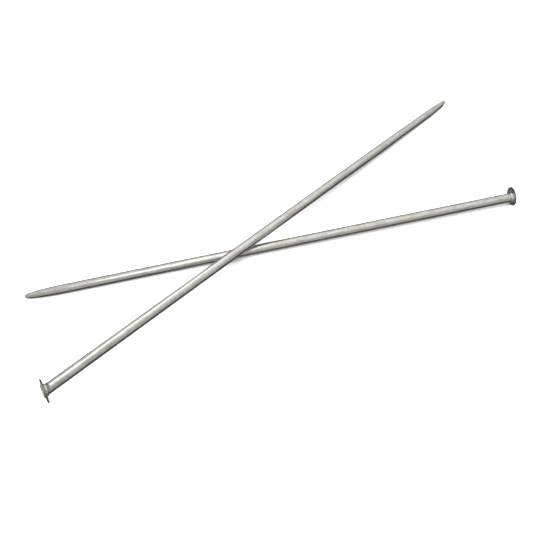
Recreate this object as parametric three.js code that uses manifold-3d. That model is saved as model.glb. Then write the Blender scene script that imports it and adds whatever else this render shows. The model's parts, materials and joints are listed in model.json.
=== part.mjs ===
// A pair of heavy round-bar tent stakes. The lower stake lies on flat ground on the rim of its
// flange and on its forged point. The upper stake rests across it, with its point on the ground
// and its head raised. Each stake is a bar, a flange washer and the two weld beads that hold it.

import * as THREE from 'three';
import { mergeVertices } from 'three/addons/utils/BufferGeometryUtils.js';
import Module from 'manifold-3d';

const wasm = await Module();
wasm.setup();

// Driving dimensions, in millimetres.
const stakeLength = 1016;
const shankDiameter = 19.05;
const pointLength = 86;
const pointFullness = 0.36;
const lowerWasherDiameter = 38;
const upperWasherDiameter = 42;
const washerHole = 23.2;
const washerThickness = 2;
const washerChamfer = 0.4;
const seatInnerRadius = 15.2;
const headProtrusion = 3;
const filletLength = 4.5;
const filletLeg = 4.4;
const filletToe = 1.5;
const filletCurve = 1.4;
const filletSteps = 6;
const sealHeight = 1.9;
const sealWidth = 2.9;
const sealShoulder = 1;
const clearance = 0.3;

// Layout of the pair: where the bars cross, measured from each washer, and the angle in plan.
const lowerCrossing = 563;
const upperCrossing = 397;
const crossingAngle = 30;

// Both washers are bent on their bars: how far the normal leans, and towards which side (0 is the
// left of the bar seen from its head, 90 is up).
const lowerWasherLean = 6.5;
const lowerLeanDirection = 220;
const upperWasherLean = 26.5;
const upperLeanDirection = -94.5;

const shankSegments = 32;
const washerSegments = 48;
const pointSteps = 14;

const shankRadius = shankDiameter / 2;
const halfWasher = washerThickness / 2;
const headEnd = halfWasher + headProtrusion;
const noseX = stakeLength - headEnd;
const boreRadius = shankRadius + clearance;
const cutterSize = 200;

const zincBar = { color: 0xb9b8b4, roughness: 0.45, metalness: 0.85 };
const zincWasher = { color: 0x8f908d, roughness: 0.55, metalness: 0.8 };
const zincWeld = { color: 0xa7a6a2, roughness: 0.5, metalness: 0.8 };

// Radius of the forged point at a distance back from its nose: an ogive with a blunt end.
function pointRadius(fromNose) {
  const rest = 1 - fromNose / pointLength;
  return shankRadius * (1 - rest * rest) ** pointFullness;
}

// A solid of revolution about X from a profile of [x, radius] pairs.
function revolve(profile, segments) {
  const points = profile.map(([x, radius]) => new THREE.Vector2(radius, x));
  const geometry = new THREE.LatheGeometry(points, segments);
  geometry.rotateZ(-Math.PI / 2);
  return geometry;
}

function toSolid(geometry) {
  geometry.deleteAttribute('normal');
  geometry.deleteAttribute('uv');
  const merged = mergeVertices(geometry, 1e-4);
  const corners = merged.index.array;
  const kept = [];
  for (let i = 0; i < corners.length; i += 3) {
    const [a, b, c] = corners.slice(i, i + 3);
    if (a !== b && b !== c && c !== a) {
      kept.push(a, b, c);
    }
  }
  return new wasm.Manifold(new wasm.Mesh({
    numProp: 3,
    vertProperties: merged.attributes.position.array,
    triVerts: Uint32Array.from(kept),
  }));
}

function toGeometry(solid) {
  const mesh = solid.getMesh();
  const geometry = new THREE.BufferGeometry();
  geometry.setAttribute('position', new THREE.BufferAttribute(mesh.vertProperties, 3));
  geometry.setIndex(new THREE.BufferAttribute(mesh.triVerts, 1));
  geometry.computeVertexNormals();
  return geometry;
}

// Everything on the head side of a plane across X, as a box in the washer's frame.
function headSideCutter(planeX, washerFrame) {
  const box = new THREE.BoxGeometry(cutterSize, cutterSize, cutterSize);
  box.translate(planeX - cutterSize / 2, 0, 0);
  box.applyMatrix4(washerFrame);
  return toSolid(box);
}

// The room that the bar and its clearance take up.
function barCutter() {
  const profile = [
    [-cutterSize, 0],
    [-cutterSize, boreRadius],
    [cutterSize, boreRadius],
    [cutterSize, 0],
  ];
  return toSolid(revolve(profile, shankSegments));
}

// The bar: cut off at the head in line with the washer, forged to a blunt ogive at the other end.
function shankGeometry(washerFrame) {
  const blankEnd = -headEnd - shankDiameter;
  const profile = [[blankEnd, 0], [blankEnd, shankRadius]];
  for (let i = pointSteps; i >= 0; i -= 1) {
    const fromNose = pointLength * (i / pointSteps) ** 2;
    profile.push([noseX - fromNose, pointRadius(fromNose)]);
  }
  const blank = toSolid(revolve(profile, shankSegments));
  return toGeometry(blank.subtract(headSideCutter(-headEnd, washerFrame)));
}

// The washer has an edge on both faces at the inner radius of the flat seat, clear of the beads.
function washerGeometry(washerDiameter, washerFrame) {
  const washerRadius = washerDiameter / 2;
  const inner = washerHole / 2;
  const chamfered = washerRadius - washerChamfer;
  const flat = halfWasher - washerChamfer;
  const profile = [
    [-halfWasher, inner],
    [-halfWasher, seatInnerRadius],
    [-halfWasher, chamfered],
    [-flat, washerRadius],
    [flat, washerRadius],
    [halfWasher, chamfered],
    [halfWasher, seatInnerRadius],
    [halfWasher, inner],
    [-halfWasher, inner],
  ];
  return revolve(profile, washerSegments).applyMatrix4(washerFrame);
}

// A bead's profile turned about the washer's axis and slid sideways with its height, so that it
// stays round the bar when the washer leans. The room for the bar is taken out.
function beadGeometry(profile, washerFrame) {
  const bar = new THREE.Vector3(1, 0, 0).transformDirection(washerFrame.clone().invert());
  const followBar = new THREE.Matrix4().set(
    1, 0, 0, 0,
    bar.y / bar.x, 1, 0, 0,
    bar.z / bar.x, 0, 1, 0,
    0, 0, 0, 1,
  );
  const bead = revolve(profile, shankSegments).applyMatrix4(followBar).applyMatrix4(washerFrame);
  return toGeometry(toSolid(bead).subtract(barCutter()));
}

// The fillet bead in the corner between the bar and the washer's underside.
function filletGeometry(washerFrame) {
  const base = halfWasher + clearance;
  const toeRadius = shankRadius + filletToe;
  const rootRadius = shankRadius + filletLeg;
  const profile = [[base, 0]];
  for (let i = 0; i <= filletSteps; i += 1) {
    const along = i / filletSteps;
    const radius = rootRadius + (toeRadius - rootRadius) * along ** filletCurve;
    profile.push([base + filletLength * along, radius]);
  }
  profile.push([base + filletLength, 0]);
  return beadGeometry(profile, washerFrame);
}

// The low bead that seals the bar's end to the washer's struck face.
function sealGeometry(washerFrame) {
  const base = -halfWasher - clearance;
  const crown = base - sealHeight;
  const rootRadius = shankRadius + sealWidth;
  const profile = [
    [crown, 0],
    [crown, rootRadius - sealShoulder],
    [(base + crown) / 2, rootRadius - sealShoulder / 3],
    [base, rootRadius],
    [base, 0],
  ];
  return beadGeometry(profile, washerFrame);
}

// One stake with its washer's centre at the origin and its point along +X.
function makeStake(prefix, washerDiameter, washerLean, leanDirection) {
  const lean = THREE.MathUtils.degToRad(washerLean);
  const side = THREE.MathUtils.degToRad(leanDirection);
  const leanAxis = new THREE.Vector3(0, -Math.sin(side), Math.cos(side));
  const washerFrame = new THREE.Matrix4().makeRotationAxis(leanAxis, lean);
  const stake = new THREE.Group();
  const addPiece = (name, geometry, finish) => {
    const piece = new THREE.Mesh(geometry, new THREE.MeshStandardMaterial(finish));
    piece.name = `${prefix}_${name}`;
    stake.add(piece);
    return piece;
  };
  const shank = addPiece('shank', shankGeometry(washerFrame), zincBar);
  const washerShape = washerGeometry(washerDiameter, washerFrame);
  const washer = addPiece('flange_washer', washerShape, zincWasher);
  addPiece('fillet_weld', filletGeometry(washerFrame), zincWeld);
  addPiece('seal_weld', sealGeometry(washerFrame), zincWeld);
  stake.rotation.order = 'ZYX';
  return { stake, shank, washer };
}

function lowestPoint(object) {
  object.updateWorldMatrix(true, true);
  return new THREE.Box3().setFromObject(object, true).min.z;
}

// The angle where a rising function passes zero.
function solveAngle(excess, low, high) {
  let from = low;
  let to = high;
  for (let i = 0; i < 50; i += 1) {
    const middle = (from + to) / 2;
    if (excess(middle) > 0) {
      to = middle;
    } else {
      from = middle;
    }
  }
  return (from + to) / 2;
}

// A unit vector along a stake that is turned by yaw and then nosed down by pitch.
function direction(yaw, pitch) {
  return new THREE.Vector3(
    Math.cos(yaw) * Math.cos(pitch),
    Math.sin(yaw) * Math.cos(pitch),
    -Math.sin(pitch),
  );
}

const model = new THREE.Group();
const quarterTurn = Math.PI / 4;

// The lower stake points along -X and touches the ground with its washer's rim and its point.
const lower = makeStake('lower', lowerWasherDiameter, lowerWasherLean, lowerLeanDirection);
lower.stake.rotation.z = Math.PI;
model.add(lower.stake);
const lowerPitch = solveAngle((pitch) => {
  lower.stake.rotation.y = pitch;
  return lowestPoint(lower.washer) - lowestPoint(lower.shank);
}, 0, quarterTurn);
lower.stake.rotation.y = lowerPitch;
lower.stake.position.z = -lowestPoint(lower.stake);

// The upper stake is nosed down until its bar lies on the lower bar and its point on the ground.
const upperYaw = THREE.MathUtils.degToRad(crossingAngle);
const upper = makeStake('upper', upperWasherDiameter, upperWasherLean, upperLeanDirection);
upper.stake.rotation.z = upperYaw;
model.add(upper.stake);
const lowerAxis = direction(Math.PI, lowerPitch);
const crossingHeight = lower.stake.position.z + lowerAxis.z * lowerCrossing;

function barsSpacing(pitch) {
  const across = new THREE.Vector3().crossVectors(direction(upperYaw, pitch), lowerAxis).normalize();
  return (shankDiameter + clearance) / Math.abs(across.z);
}

function setUpper(pitch) {
  const axis = direction(upperYaw, pitch);
  upper.stake.rotation.y = pitch;
  upper.stake.position.set(
    lowerAxis.x * lowerCrossing - axis.x * upperCrossing,
    lowerAxis.y * lowerCrossing - axis.y * upperCrossing,
    crossingHeight + barsSpacing(pitch) - axis.z * upperCrossing,
  );
}

const upperPitch = solveAngle((pitch) => {
  setUpper(pitch);
  return -lowestPoint(upper.shank);
}, 0, quarterTurn / 4);
setUpper(upperPitch);

// The row's origin is under the middle of the pair, on the ground.
model.updateWorldMatrix(true, true);
const extent = new THREE.Box3().setFromObject(model, true);
const middle = extent.getCenter(new THREE.Vector3());
model.position.set(-middle.x, -middle.y, -extent.min.z);

export default model;
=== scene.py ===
"""A crossed pair of heavy galvanised tent stakes on a pale studio floor.

Every piece is built in its stake's own frame: the origin is the centre of the flange washer,
x runs along the bar towards the point, y is to the left and z is up. Sizes are in metres. The
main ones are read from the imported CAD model, and the detail on top of them is named below.
"""

import json
import math

import bmesh
import bpy
import numpy as np
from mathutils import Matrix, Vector, noise


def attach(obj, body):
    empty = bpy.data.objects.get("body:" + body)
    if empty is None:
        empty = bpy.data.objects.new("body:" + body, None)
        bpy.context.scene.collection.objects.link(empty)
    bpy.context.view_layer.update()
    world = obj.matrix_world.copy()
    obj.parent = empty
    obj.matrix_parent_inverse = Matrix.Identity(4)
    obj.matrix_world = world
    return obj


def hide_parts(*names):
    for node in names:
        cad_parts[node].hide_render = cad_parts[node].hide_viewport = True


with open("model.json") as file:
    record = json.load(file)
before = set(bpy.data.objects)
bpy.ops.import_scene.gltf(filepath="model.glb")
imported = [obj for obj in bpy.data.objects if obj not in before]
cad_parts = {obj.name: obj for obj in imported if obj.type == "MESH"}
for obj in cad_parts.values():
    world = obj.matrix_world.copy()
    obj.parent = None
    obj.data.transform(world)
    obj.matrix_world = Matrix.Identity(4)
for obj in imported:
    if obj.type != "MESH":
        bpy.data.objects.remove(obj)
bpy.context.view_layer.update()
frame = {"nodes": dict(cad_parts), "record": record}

MM = 0.001
TURN = 2 * math.pi

# The bar: even round stock with a lumpy zinc coat, forged to a point, mushroomed at the head.
BAR_SEGMENTS = 96
BAR_STEP = 4 * MM
HEAD_STEP = 1 * MM
HEAD_ZONE = 12 * MM
BAR_WAVE = 0.022 * MM
BAR_WAVE_LENGTH = 16 * MM
COAT_LUMP = 0.018 * MM
COAT_LUMP_LENGTH = 3 * MM
POINT_LENGTH = 86 * MM
POINT_FULLNESS = 0.36
POINT_RINGS = 80
FORGED_FROM = 1.5 * POINT_LENGTH
FORGED_TO = 0.7 * POINT_LENGTH
HAMMER_DENT = 0.28 * MM
HAMMER_LENGTH = 11 * MM
# Each groove round the nose: distance from the nose, depth and half width.
NOSE_GROOVES = ((3.4 * MM, 0.6 * MM, 0.6 * MM), (7.2 * MM, 0.4 * MM, 0.7 * MM))
NOSE_SWELL_PLACE = 6 * MM
NOSE_SWELL_LENGTH = 6 * MM
DRAWN_FROM = 240 * MM
DRAWN_TO = 110 * MM
NOSE_BEND_LENGTH = 60 * MM
HEAD_EDGE = 1.1 * MM
HEAD_EDGE_STEPS = 5
HEAD_FLARE = 0.4 * MM
HEAD_FLARE_LENGTH = 2.5 * MM
HEAD_DOME = 0.35 * MM
HEAD_DENT = 0.2 * MM
HEAD_DENT_LENGTH = 5 * MM
HEAD_FACE_RINGS = 8
SHEAR_END = 10 * MM

# The washer: punched, so one edge is rolled over and the other is sharper, then bent in use.
WASHER_SEGMENTS = 144
WASHER_FACE_RINGS = 8
ROLLED_EDGE = 0.9 * MM
SHARP_EDGE = 0.4 * MM
EDGE_STEPS = 4
# Painted shade: the washer's colour is darkened along its rim, in place of the dark reflection of
# its rounded edge. It spans this width and fades in over this.
RIM_SHADE_WIDTH = 1.1 * MM
RIM_SHADE_FADE = 0.7 * RIM_SHADE_WIDTH
RIM_WANDER = 0.25 * MM
# Read round a unit circle, so it has no unit.
RIM_WANDER_LENGTH = 0.8
WASHER_DISH = 0.35 * MM
WASHER_DENT = 0.1 * MM
WASHER_DENT_LENGTH = 9 * MM

# The weld beads: overlapping ripples with lumps, sunk a little into the bar and the washer.
WELD_SEGMENTS = 240
WELD_STEPS = 12
WELD_SINK = 0.5 * MM
FILLET_LEG = 1.5 * MM
FILLET_TOE = 4.2 * MM
FILLET_BULGE = 0.3 * MM
SEAL_BULGE = 0.8 * MM
RIPPLE_PITCH = 2.7 * MM
RIPPLE = 0.22 * MM
RIPPLE_BOW = 0.12
WELD_LUMP = 0.5 * MM
WELD_LUMP_LENGTH = 3.5 * MM
SEAL_WANDER = 0.5 * WELD_LUMP
CRATER_WIDTH = 0.2
CRATER_DEPTH = 0.75
# How far the beads' edges wander is read round a unit circle, so these have no unit.
EDGE_WANDER_LENGTH = 0.5
TOE_WANDER_LENGTH = 0.3
FILLET_CIRCLE = 0
SEAL_CIRCLE = 1

# The zinc's pattern: noise scales per metre, and how far it is drawn out along the bar.
MOTTLE_SCALE = 110
PATCH_SCALE = 22
LINE_SCALE = 800
SPECK_SCALE = 700
SPANGLE_SCALE = 260
SKIN_SCALE = 450
MOTTLE_DRAWN = (0.4, 1, 1)
LINES_DRAWN = (0.05, 1, 1)
SKIN_DEPTH = 0.25 * MM
LINE_DEPTH = 0.05 * MM
LINE_BUMP = 0.25
ROUGHNESS_SPREAD = 0.06
SMOOTH_AT, ROUGH_AT = 0.3, 0.7

# Each ramp's stops: where in the pattern, and the colour or the shade it multiplies by.
MOTTLE_DARK_AT, MOTTLE_LIGHT_AT = 0.36, 0.62
PATCH_TINTS = ((0.35, (1.0, 0.985, 0.95)), (0.65, (0.98, 1.0, 1.0)))
SPANGLE_SHADES = ((0.0, 0.9), (1.0, 1.06))
LINE_SHADES = ((0.3, 0.8), (0.6, 1.0))
SPECK_SHADES = ((0.24, 0.35), (0.31, 1.0))
# The last stops are painted shade: they darken the washer's colour towards its rim.
RIM_PAINTED_SHADES = ((0.0, 1.0), (1.0, 0.5))
SPANGLE_SHARE = 0.6
LINE_SHARE = 0.8


def corners(node):
    """The vertices of a CAD node, one row each."""
    return np.array([tuple(v.co) for v in frame["nodes"][node].data.vertices])


def unit(vector):
    return np.asarray(vector, float) / np.linalg.norm(vector)


def wobble(point, length, octaves=3):
    """Smooth noise of about -1 to 1 at a point, with features of that length."""
    return noise.fractal(Vector(point) / length, 1.0, 2.0, octaves)


def smooth_step(value, low, high):
    part = min(max((value - low) / (high - low), 0.0), 1.0)
    return part * part * (3 - 2 * part)


def bell(distance, half_width):
    return math.exp(-((distance / half_width) ** 2))


class Stake:
    """One stake's frame and sizes, read from its CAD nodes."""

    def __init__(self, prefix, seed, crater, slip, spread, bend, swell, drawn):
        self.prefix = prefix
        self.seed = np.array([seed, 0.0, 0.0])
        self.crater = math.radians(crater)
        self.spread = spread
        self.swell, self.drawn = swell, drawn
        self.bend = np.array([0.0, *bend])
        washer = corners(f"{prefix}_flange_washer")
        shank = corners(f"{prefix}_shank")
        self.origin = (washer.min(0) + washer.max(0)) / 2
        nose = shank[np.argmax(np.linalg.norm(shank - self.origin, axis=1))]
        along = unit(nose - self.origin)
        left = unit(np.cross((0, 0, 1), along))
        self.axes = np.array([along, left, np.cross(along, left)])
        mounts = {m["name"]: m for m in frame["record"]["mounts"]}
        self.lean = self.axes @ unit(mounts[f"{prefix}_flange_underside"]["axis"])
        slip = np.array([0.0, *slip])
        self.slip = slip - self.lean * (slip @ self.lean)

        bar = self.local(shank)
        self.nose = np.linalg.norm(nose - self.origin)
        self.radius = np.linalg.norm(bar[:, 1:], axis=1).max()
        self.head = -(bar @ self.lean).min()
        height, reach = self.about_washer(washer)
        self.half_washer = height.max()
        self.washer_radius = reach.max()
        self.hole_radius = reach.min()
        height, reach = self.about_washer(corners(f"{prefix}_seal_weld"))
        self.seal_crown = -height.min()
        self.seal_root = reach.max()

    def local(self, points):
        """Points of the row frame in the stake's own frame."""
        return (points - self.origin) @ self.axes.T

    def about_washer(self, points):
        """Each point's height along the washer's axis and distance from that axis."""
        inside = self.local(points)
        height = inside @ self.lean
        return height, np.linalg.norm(inside - np.outer(height, self.lean), axis=1)

    def level(self, height, y, z):
        """Where along the bar the plane at that height over the washer is, beside y and z."""
        return (height - self.lean[1] * y - self.lean[2] * z) / self.lean[0]

    def noisy(self, point, length, octaves=3):
        return wobble(np.asarray(point) + self.seed, length, octaves)

    def add(self, name, node, rings, material, slot, poles=()):
        """A piece of closed rings of points: a closed loop of rings, or a row with two poles."""
        rings = np.array(rings)
        count, size = rings.shape[:2]
        points = np.concatenate([rings.reshape(-1, 3), np.reshape(poles, (-1, 3))])
        faces = []
        for i in range(count - 1 if len(poles) else count):
            here, there = i * size, (i + 1) % count * size
            for j in range(size):
                k = (j + 1) % size
                faces.append((here + j, here + k, there + k, there + j))
        if len(poles):
            last_ring = (count - 1) * size
            for j in range(size):
                k = (j + 1) % size
                faces.append((count * size, k, j))
                faces.append((count * size + 1, last_ring + j, last_ring + k))
        mesh = bpy.data.meshes.new(name)
        mesh.from_pydata((self.origin + points @ self.axes).tolist(), [], faces)
        shape = bmesh.new()
        shape.from_mesh(mesh)
        bmesh.ops.recalc_face_normals(shape, faces=shape.faces)
        shape.to_mesh(mesh)
        shape.free()
        mesh.shade_smooth()
        place = mesh.attributes.new("stake_place", "FLOAT_VECTOR", "POINT")
        place.data.foreach_set("vector", (points + self.seed).astype(np.float32).ravel())
        if name == "flange":
            # Painted shade: the washer's colour darkens towards its rim, in place of the rounded
            # edge's dark reflection.
            out = points - self.slip
            reach = np.linalg.norm(out - np.outer(out @ self.lean, self.lean), axis=1)
            edge = self.washer_radius + self.spread - RIM_SHADE_WIDTH
            rim_shade = np.clip((reach - edge) / RIM_SHADE_FADE, 0, 1).astype(np.float32)
            mesh.attributes.new("rim_painted_shade", "FLOAT", "POINT").data.foreach_set("value", rim_shade)
        mesh.materials.append(material)
        piece = bpy.data.objects.new(f"{self.prefix}_{name}", mesh)
        bpy.context.scene.collection.objects.link(piece)
        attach(piece, f"{self.prefix}_stake")
        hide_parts(f"{self.prefix}_{node}")
        return piece


def angles(segments):
    return [TURN * i / segments for i in range(segments)]


def bar_stations(stake):
    """The bar's outline as (x, radius), from the middle of the struck face to the nose."""
    flare = stake.radius + HEAD_FLARE
    face = flare - HEAD_EDGE
    stations = []
    for i in range(1, HEAD_FACE_RINGS + 1):
        part = i / HEAD_FACE_RINGS
        stations.append((-stake.head + HEAD_DOME * part**2, face * part))
    for i in range(1, HEAD_EDGE_STEPS + 1):
        turn = math.pi / 2 * i / HEAD_EDGE_STEPS
        x = -stake.head + HEAD_DOME + HEAD_EDGE * (1 - math.cos(turn))
        stations.append((x, face + HEAD_EDGE * math.sin(turn)))
    edge = stations[-1][0]
    x = edge + HEAD_STEP
    while x < stake.nose - POINT_LENGTH:
        radius = stake.radius + HEAD_FLARE * bell(x - edge, HEAD_FLARE_LENGTH)
        thinner = smooth_step(x, stake.nose - DRAWN_FROM, stake.nose - DRAWN_TO)
        stations.append((x, radius - stake.drawn * thinner))
        x += HEAD_STEP if x < HEAD_ZONE else BAR_STEP
    for i in range(POINT_RINGS, 0, -1):
        from_nose = POINT_LENGTH * (i / POINT_RINGS) ** 2
        rest = 1 - from_nose / POINT_LENGTH
        radius = (stake.radius - stake.drawn) * (1 - rest * rest) ** POINT_FULLNESS
        radius += stake.swell * bell(from_nose - NOSE_SWELL_PLACE, NOSE_SWELL_LENGTH)
        for place, depth, half_width in NOSE_GROOVES:
            radius -= depth * bell(from_nose - place, half_width)
        stations.append((stake.nose - from_nose, radius))
    return stations


def bent(stake, x):
    """How far the bar's middle is off its straight line there: the nose is a little bent."""
    return stake.bend * max(0.0, 1 - (stake.nose - x) / NOSE_BEND_LENGTH) ** 2


def bar_rings(stake):
    rings = []
    for x, radius in bar_stations(stake):
        on_face = radius < stake.radius and x < 0
        shear = 1 - smooth_step(x, -stake.head, SHEAR_END)
        forged = smooth_step(x, stake.nose - FORGED_FROM, stake.nose - FORGED_TO)
        ring = []
        for angle in angles(BAR_SEGMENTS):
            y, z = math.cos(angle), math.sin(angle)
            spot = (x, radius * y, radius * z)
            lump = 0.0
            if not on_face:
                lump = BAR_WAVE * stake.noisy(spot, BAR_WAVE_LENGTH)
                lump += COAT_LUMP * stake.noisy(spot, COAT_LUMP_LENGTH)
                dent = stake.noisy(spot, HAMMER_LENGTH, 1)
                lump += HAMMER_DENT * forged * radius / stake.radius * dent
            tilt = stake.level(0, spot[1], spot[2]) * shear
            dimple = HEAD_DENT * stake.noisy(spot, HEAD_DENT_LENGTH) if x < 0 else 0.0
            reach = radius + lump
            ring.append((x + tilt + dimple, reach * y, reach * z))
        rings.append(np.array(ring) + bent(stake, x))
    poles = [(-stake.head, 0, 0), np.array((stake.nose, 0, 0)) + bent(stake, stake.nose)]
    return rings, poles


def edge_arc(height, radius, size, start, end):
    """A rounded edge as (height, radius) pairs, between two angles in the outline's plane."""
    arc = []
    for i in range(EDGE_STEPS + 1):
        turn = math.radians(start + (end - start) * i / EDGE_STEPS)
        arc.append((height + size * math.sin(turn), radius + size * math.cos(turn)))
    return arc


def washer_outline(stake):
    """The washer's closed outline as (height, radius), from the hole over the struck face."""
    half, rim, hole = stake.half_washer, stake.washer_radius, stake.hole_radius
    sharp = edge_arc(-half + SHARP_EDGE, rim - SHARP_EDGE, SHARP_EDGE, -90, 0)
    rolled = edge_arc(half - ROLLED_EDGE, rim - ROLLED_EDGE, ROLLED_EDGE, 0, 90)
    struck, under = [], []
    for i in range(WASHER_FACE_RINGS):
        part = i / WASHER_FACE_RINGS
        struck.append((-half, hole + (sharp[0][1] - hole) * part))
        under.append((half, hole + (rolled[-1][1] - hole) * part))
    return struck + sharp + rolled + under[::-1]


def washer_rings(stake):
    hole, rim = stake.hole_radius, stake.washer_radius
    side = unit(np.cross(stake.lean, (0, 0, 1)))
    other = np.cross(stake.lean, side)
    rings = []
    for height, radius in washer_outline(stake):
        part = (radius - hole) / (rim - hole)
        ring = []
        for angle in angles(WASHER_SEGMENTS):
            out = side * math.cos(angle) + other * math.sin(angle)
            spot = out * radius
            wander = RIM_WANDER * stake.noisy(out, RIM_WANDER_LENGTH, 2)
            reach = radius + part * (stake.spread + wander)
            bend = WASHER_DENT * stake.noisy(spot, WASHER_DENT_LENGTH) - WASHER_DISH * part**2
            ring.append(stake.slip + out * reach + stake.lean * (height + bend))
        rings.append(ring)
    return rings


def ripples(angle, reach, across):
    """The bead's overlapping ripples, bowed across it: 0 between them to 1 on top."""
    count = round(TURN * reach / RIPPLE_PITCH)
    bowed = angle + RIPPLE_BOW * math.sin(math.pi * across)
    return abs(math.sin(count * bowed / 2))


def bead_ring(stake, angle, root, toe, corner, bulge):
    """One section of a bead, from its root on the washer over its crown to its toe.

    Each of root, toe and corner is a point (x, radius) at that angle round the bar, and the
    corner is hidden inside the washer and the bar.
    """
    root, toe = np.array(root), np.array(toe)
    span = toe - root
    out = unit((-span[1], span[0]))
    if out[1] < 0:
        out = -out
    ring = []
    for i in range(WELD_STEPS + 1):
        across = i / WELD_STEPS
        crown = math.sin(math.pi * across)
        x, reach = root + span * across
        spot = (x, reach * math.cos(angle), reach * math.sin(angle))
        lump = WELD_LUMP * stake.noisy(spot, WELD_LUMP_LENGTH, 2)
        ripple = RIPPLE * ripples(angle, stake.radius, across)
        lift = bulge * crown + (lump + ripple) * math.sqrt(crown)
        x, reach = root + span * across + out * lift
        ring.append((x, reach * math.cos(angle), reach * math.sin(angle)))
    ring.append((corner[0], corner[1] * math.cos(angle), corner[1] * math.sin(angle)))
    return ring


def fillet_rings(stake):
    rings = []
    inner = stake.radius - WELD_SINK
    for angle in angles(WELD_SEGMENTS):
        around = (math.cos(angle), math.sin(angle), FILLET_CIRCLE)
        y, z = around[:2]
        leg = FILLET_LEG + WELD_LUMP * stake.noisy(around, EDGE_WANDER_LENGTH, 2)
        toe_wander = WELD_LUMP * stake.noisy(around, TOE_WANDER_LENGTH, 2)
        toe = stake.half_washer + FILLET_TOE + toe_wander
        reach = stake.radius + leg
        height = stake.half_washer - WELD_SINK
        root = (stake.level(height, reach * y, reach * z), reach)
        corner = (stake.level(height, inner * y, inner * z), inner)
        end = (stake.level(toe, inner * y, inner * z), inner)
        rings.append(bead_ring(stake, angle, root, end, corner, FILLET_BULGE))
    return rings


def seal_rings(stake):
    rings = []
    inner = stake.radius - WELD_SINK
    for angle in angles(WELD_SEGMENTS):
        around = (math.cos(angle), math.sin(angle), SEAL_CIRCLE)
        y, z = around[:2]
        off = math.remainder(angle - stake.crater, TURN)
        full = 1 - CRATER_DEPTH * bell(off, CRATER_WIDTH)
        width = (stake.seal_root - stake.radius) * full
        wander = SEAL_WANDER * stake.noisy(around, EDGE_WANDER_LENGTH, 2)
        reach = stake.radius + width + wander
        sunk = -stake.half_washer + WELD_SINK
        crown = -stake.half_washer - (stake.seal_crown - stake.half_washer) * full
        root = (stake.level(sunk, reach * y, reach * z), reach)
        toe = (stake.level(crown, inner * y, inner * z), inner)
        corner = (stake.level(sunk, inner * y, inner * z), inner)
        rings.append(bead_ring(stake, angle, root, toe, corner, SEAL_BULGE * full))
    return rings


def node(tree, kind, inputs=None, **settings):
    """A shader node with its settings, and each input set or linked to a socket."""
    made = tree.nodes.new(kind)
    for name, value in settings.items():
        setattr(made, name, value)
    for name, value in (inputs or {}).items():
        if isinstance(value, bpy.types.NodeSocket):
            tree.links.new(value, made.inputs[name])
        else:
            made.inputs[name].default_value = value
    return made


def ramp(tree, factor, stops):
    made = node(tree, "ShaderNodeValToRGB", {"Fac": factor})
    points = made.color_ramp.elements
    while len(points) < len(stops):
        points.new(1.0)
    for point, (position, colour) in zip(points, stops):
        point.position = position
        point.color = (*colour, 1) if isinstance(colour, tuple) else (colour,) * 3 + (1,)
    return made.outputs["Color"]


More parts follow.
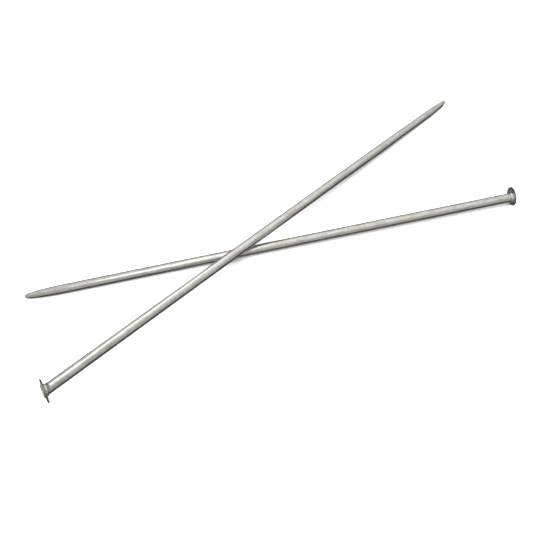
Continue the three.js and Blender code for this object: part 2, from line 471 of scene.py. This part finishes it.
def zinc(name, dark, light, rough, bump):
    """Dull hot-dip zinc: mottled, faintly spangled, with specks, drawn lines, a lumpy skin and
    painted shade darkening the washer's rim.
    """
    material = bpy.data.materials.new(name)
    material.use_nodes = True
    tree = material.node_tree
    shader = tree.nodes["Principled BSDF"]
    place = node(tree, "ShaderNodeAttribute", attribute_name="stake_place").outputs["Vector"]

    def drawn_out(factors):
        inputs = {0: place, 1: factors}
        return node(tree, "ShaderNodeVectorMath", inputs, operation="MULTIPLY").outputs["Vector"]

    def cloud(vector, scale, detail=4.0, roughness=0.6):
        inputs = {"Vector": vector, "Scale": scale, "Detail": detail, "Roughness": roughness}
        return node(tree, "ShaderNodeTexNoise", inputs).outputs["Fac"]

    def multiply(share, colour, shade):
        mixed = node(tree, "ShaderNodeMix", {0: share}, data_type="RGBA", blend_type="MULTIPLY")
        tree.links.new(colour, mixed.inputs[6])
        tree.links.new(shade, mixed.inputs[7])
        return mixed.outputs[2]

    mottle = cloud(drawn_out(MOTTLE_DRAWN), MOTTLE_SCALE)
    patches = cloud(place, PATCH_SCALE, detail=2.0)
    lines = cloud(drawn_out(LINES_DRAWN), LINE_SCALE, detail=3.0)
    specks = cloud(place, SPECK_SCALE, detail=2.0)
    cells = node(
        tree, "ShaderNodeTexVoronoi", {"Vector": place, "Scale": SPANGLE_SCALE, "Randomness": 1.0}
    )
    spangle = node(tree, "ShaderNodeSeparateColor", {"Color": cells.outputs["Color"]})
    # How far into the washer rim's painted shade each point lies.
    rim = node(tree, "ShaderNodeAttribute", attribute_name="rim_painted_shade").outputs["Fac"]

    colour = ramp(tree, mottle, ((MOTTLE_DARK_AT, dark), (MOTTLE_LIGHT_AT, light)))
    for share, pattern, stops in (
        (1.0, patches, PATCH_TINTS),
        (SPANGLE_SHARE, spangle.outputs["Red"], SPANGLE_SHADES),
        (LINE_SHARE, lines, LINE_SHADES),
        (1.0, specks, SPECK_SHADES),
        # Painted shade at the washer's rim.
        (1.0, rim, RIM_PAINTED_SHADES),
    ):
        colour = multiply(share, colour, ramp(tree, pattern, stops))
    tree.links.new(colour, shader.inputs["Base Color"])

    pattern_range = {"From Min": SMOOTH_AT, "From Max": ROUGH_AT}
    rough_range = {"To Min": rough, "To Max": rough + ROUGHNESS_SPREAD}
    gloss = node(tree, "ShaderNodeMapRange", {"Value": mottle, **pattern_range, **rough_range})
    tree.links.new(gloss.outputs["Result"], shader.inputs["Roughness"])
    shader.inputs["Metallic"].default_value = 1.0

    rough_skin = cloud(place, SKIN_SCALE, detail=5.0)
    lumps = {"Height": rough_skin, "Strength": bump, "Distance": SKIN_DEPTH}
    skin = node(tree, "ShaderNodeBump", lumps)
    scratches = {"Height": lines, "Strength": LINE_BUMP, "Distance": LINE_DEPTH}
    scratch = node(tree, "ShaderNodeBump", {**scratches, "Normal": skin.outputs["Normal"]})
    tree.links.new(scratch.outputs["Normal"], shader.inputs["Normal"])
    return material


# Each finish: its dark and light zinc, its roughness and how strong its lumps are.
bar_zinc = zinc("bar_zinc", (0.62, 0.592, 0.545), (0.75, 0.735, 0.7), 0.17, 0.16)
# The washer's zinc is painted a little lighter than the bar's: a painted reflection, in place of
# the pale floor that the washer doesn't reflect.
washer_zinc_painted_reflection = zinc("washer_zinc_painted_reflection", (0.62, 0.62, 0.6), (0.8, 0.8, 0.77), 0.38, 0.35)
# The welds' zinc is painted lighter than the bar's: a painted highlight for the beads' bright
# crescents.
weld_zinc_painted_highlight = zinc("weld_zinc_painted_highlight", (0.7, 0.7, 0.68), (0.92, 0.91, 0.89), 0.2, 0.4)

# What differs between the two: where the washer sits off the bar's middle, how far its rim is
# spread, how the nose is bent or swollen, and how much thinner the bar is drawn towards it.
lower = Stake(
    "lower",
    seed=0.0,
    crater=200.0,
    slip=(-1.6 * MM, 0.95 * MM),
    spread=1.0 * MM,
    bend=(0, 0),
    swell=0.9 * MM,
    drawn=0,
)
upper = Stake(
    "upper",
    seed=3.0,
    crater=200.0,
    slip=(0, 0),
    spread=0.7 * MM,
    bend=(1.1 * MM, 0.6 * MM),
    swell=0,
    drawn=0.9 * MM,
)
for stake in (lower, upper):
    rings, poles = bar_rings(stake)
    stake.add("bar", "shank", rings, bar_zinc, "galvanised_bar", poles)
    stake.add("flange", "flange_washer", washer_rings(stake), washer_zinc_painted_reflection, "galvanised_washer")
    stake.add("fillet_bead", "fillet_weld", fillet_rings(stake), weld_zinc_painted_highlight, "galvanised_weld")
    stake.add("seal_bead", "seal_weld", seal_rings(stake), weld_zinc_painted_highlight, "galvanised_weld")

# The studio: a plain pale floor under a large soft light, two weak highlights, and a soft sky
# for the reflections.
FLOOR_SIZE = 12.0
FLOOR_GREY = 0.86
FLOOR_ROUGHNESS = 0.9

# The sky's light by how far a direction is from the bright side: 0 is opposite it, 1 is at it.
BRIGHT_SIDE = (0.0, 0.208, 0.978)
SKY_SHADES = (
    (0.0, (1.9, 1.8, 1.7)),
    (0.13, (1.1, 1.0, 0.93)),
    (0.2, 0.54),
    (0.6, 0.52),
    (0.79, 0.7),
    (0.93, 0.98),
    (1.0, 1.17),
)
# Below the horizon the sky fades to this share of its light, between these two heights.
GROUND_SHARE = 0.12
GROUND_BELOW = -0.2
GROUND_ABOVE = -0.12

SENSOR_WIDTH = 36.0
LENS = 22.4
LENS_SHIFT = (-0.0861, -0.0860)
CLIP_START = 0.01
CAMERA_PLACE = (0.0863, -0.36669, 0.65536)
CAMERA_TURN = (26.986, 3.208, -11.024)

scene = bpy.context.scene
scene.view_settings.view_transform = "Standard"

floor_mesh = bpy.data.meshes.new("studio_floor")
half = FLOOR_SIZE / 2
floor_corners = [(-half, -half, 0), (half, -half, 0), (half, half, 0), (-half, half, 0)]
floor_mesh.from_pydata(floor_corners, [], [(0, 1, 2, 3)])
floor_paint = bpy.data.materials.new("floor_paint")
floor_paint.use_nodes = True
paint = floor_paint.node_tree.nodes["Principled BSDF"]
paint.inputs["Base Color"].default_value = (FLOOR_GREY, FLOOR_GREY, FLOOR_GREY, 1)
paint.inputs["Roughness"].default_value = FLOOR_ROUGHNESS
floor_mesh.materials.append(floor_paint)
floor = bpy.data.objects.new("studio_floor", floor_mesh)
scene.collection.objects.link(floor)
# The bars reflect the dark ground of the sky instead of this white floor.
floor.visible_glossy = False

world = bpy.data.worlds.new("studio")
world.use_nodes = True
scene.world = world
sky = world.node_tree
direction = node(sky, "ShaderNodeTexCoord").outputs["Generated"]
towards = node(
    sky, "ShaderNodeVectorMath", {0: direction, 1: BRIGHT_SIDE}, operation="DOT_PRODUCT"
)
share = node(sky, "ShaderNodeMapRange", {"Value": towards.outputs["Value"], "From Min": -1.0})
glow = ramp(sky, share.outputs["Result"], SKY_SHADES)
upward = node(sky, "ShaderNodeSeparateXYZ", {"Vector": direction}).outputs["Z"]
horizon = {"From Min": GROUND_BELOW, "From Max": GROUND_ABOVE, "To Min": GROUND_SHARE}
ground = node(sky, "ShaderNodeMapRange", {"Value": upward, **horizon, "To Max": 1.0})
background = sky.nodes["Background"]
sky.links.new(glow, background.inputs["Color"])
sky.links.new(ground.outputs["Result"], background.inputs["Strength"])


def area_light(name, place, aim, size, power, glossy):
    light = bpy.data.lights.new(name, "AREA")
    light.shape = "RECTANGLE"
    light.size, light.size_y = size
    light.energy = power
    lamp = bpy.data.objects.new(name, light)
    scene.collection.objects.link(lamp)
    lamp.location = place
    lamp.rotation_euler = (Vector(aim) - Vector(place)).to_track_quat("-Z", "Y").to_euler()
    lamp.visible_glossy = glossy
    return lamp


area_light(
    "overhead", place=(0, 0.1, 2.2), aim=(0, 0, 0), size=(3.0, 3.0), power=140, glossy=False
)
area_light(
    "window", place=(-0.95, 0.2, 2.0), aim=(-0.35, 0, 0), size=(2.0, 0.9), power=4.6, glossy=True
)
area_light(
    "lamp",
    place=(-1.41, -0.3, 2.0),
    aim=(-0.41, -0.24, 0.05),
    size=(0.3, 0.3),
    power=0.55,
    glossy=True,
)

lens = bpy.data.cameras.new("camera")
lens.sensor_width = SENSOR_WIDTH
lens.lens = LENS
lens.shift_x, lens.shift_y = LENS_SHIFT
lens.clip_start = CLIP_START
camera = bpy.data.objects.new("camera", lens)
scene.collection.objects.link(camera)
camera.location = CAMERA_PLACE
camera.rotation_euler = [math.radians(a) for a in CAMERA_TURN]
scene.camera = camera
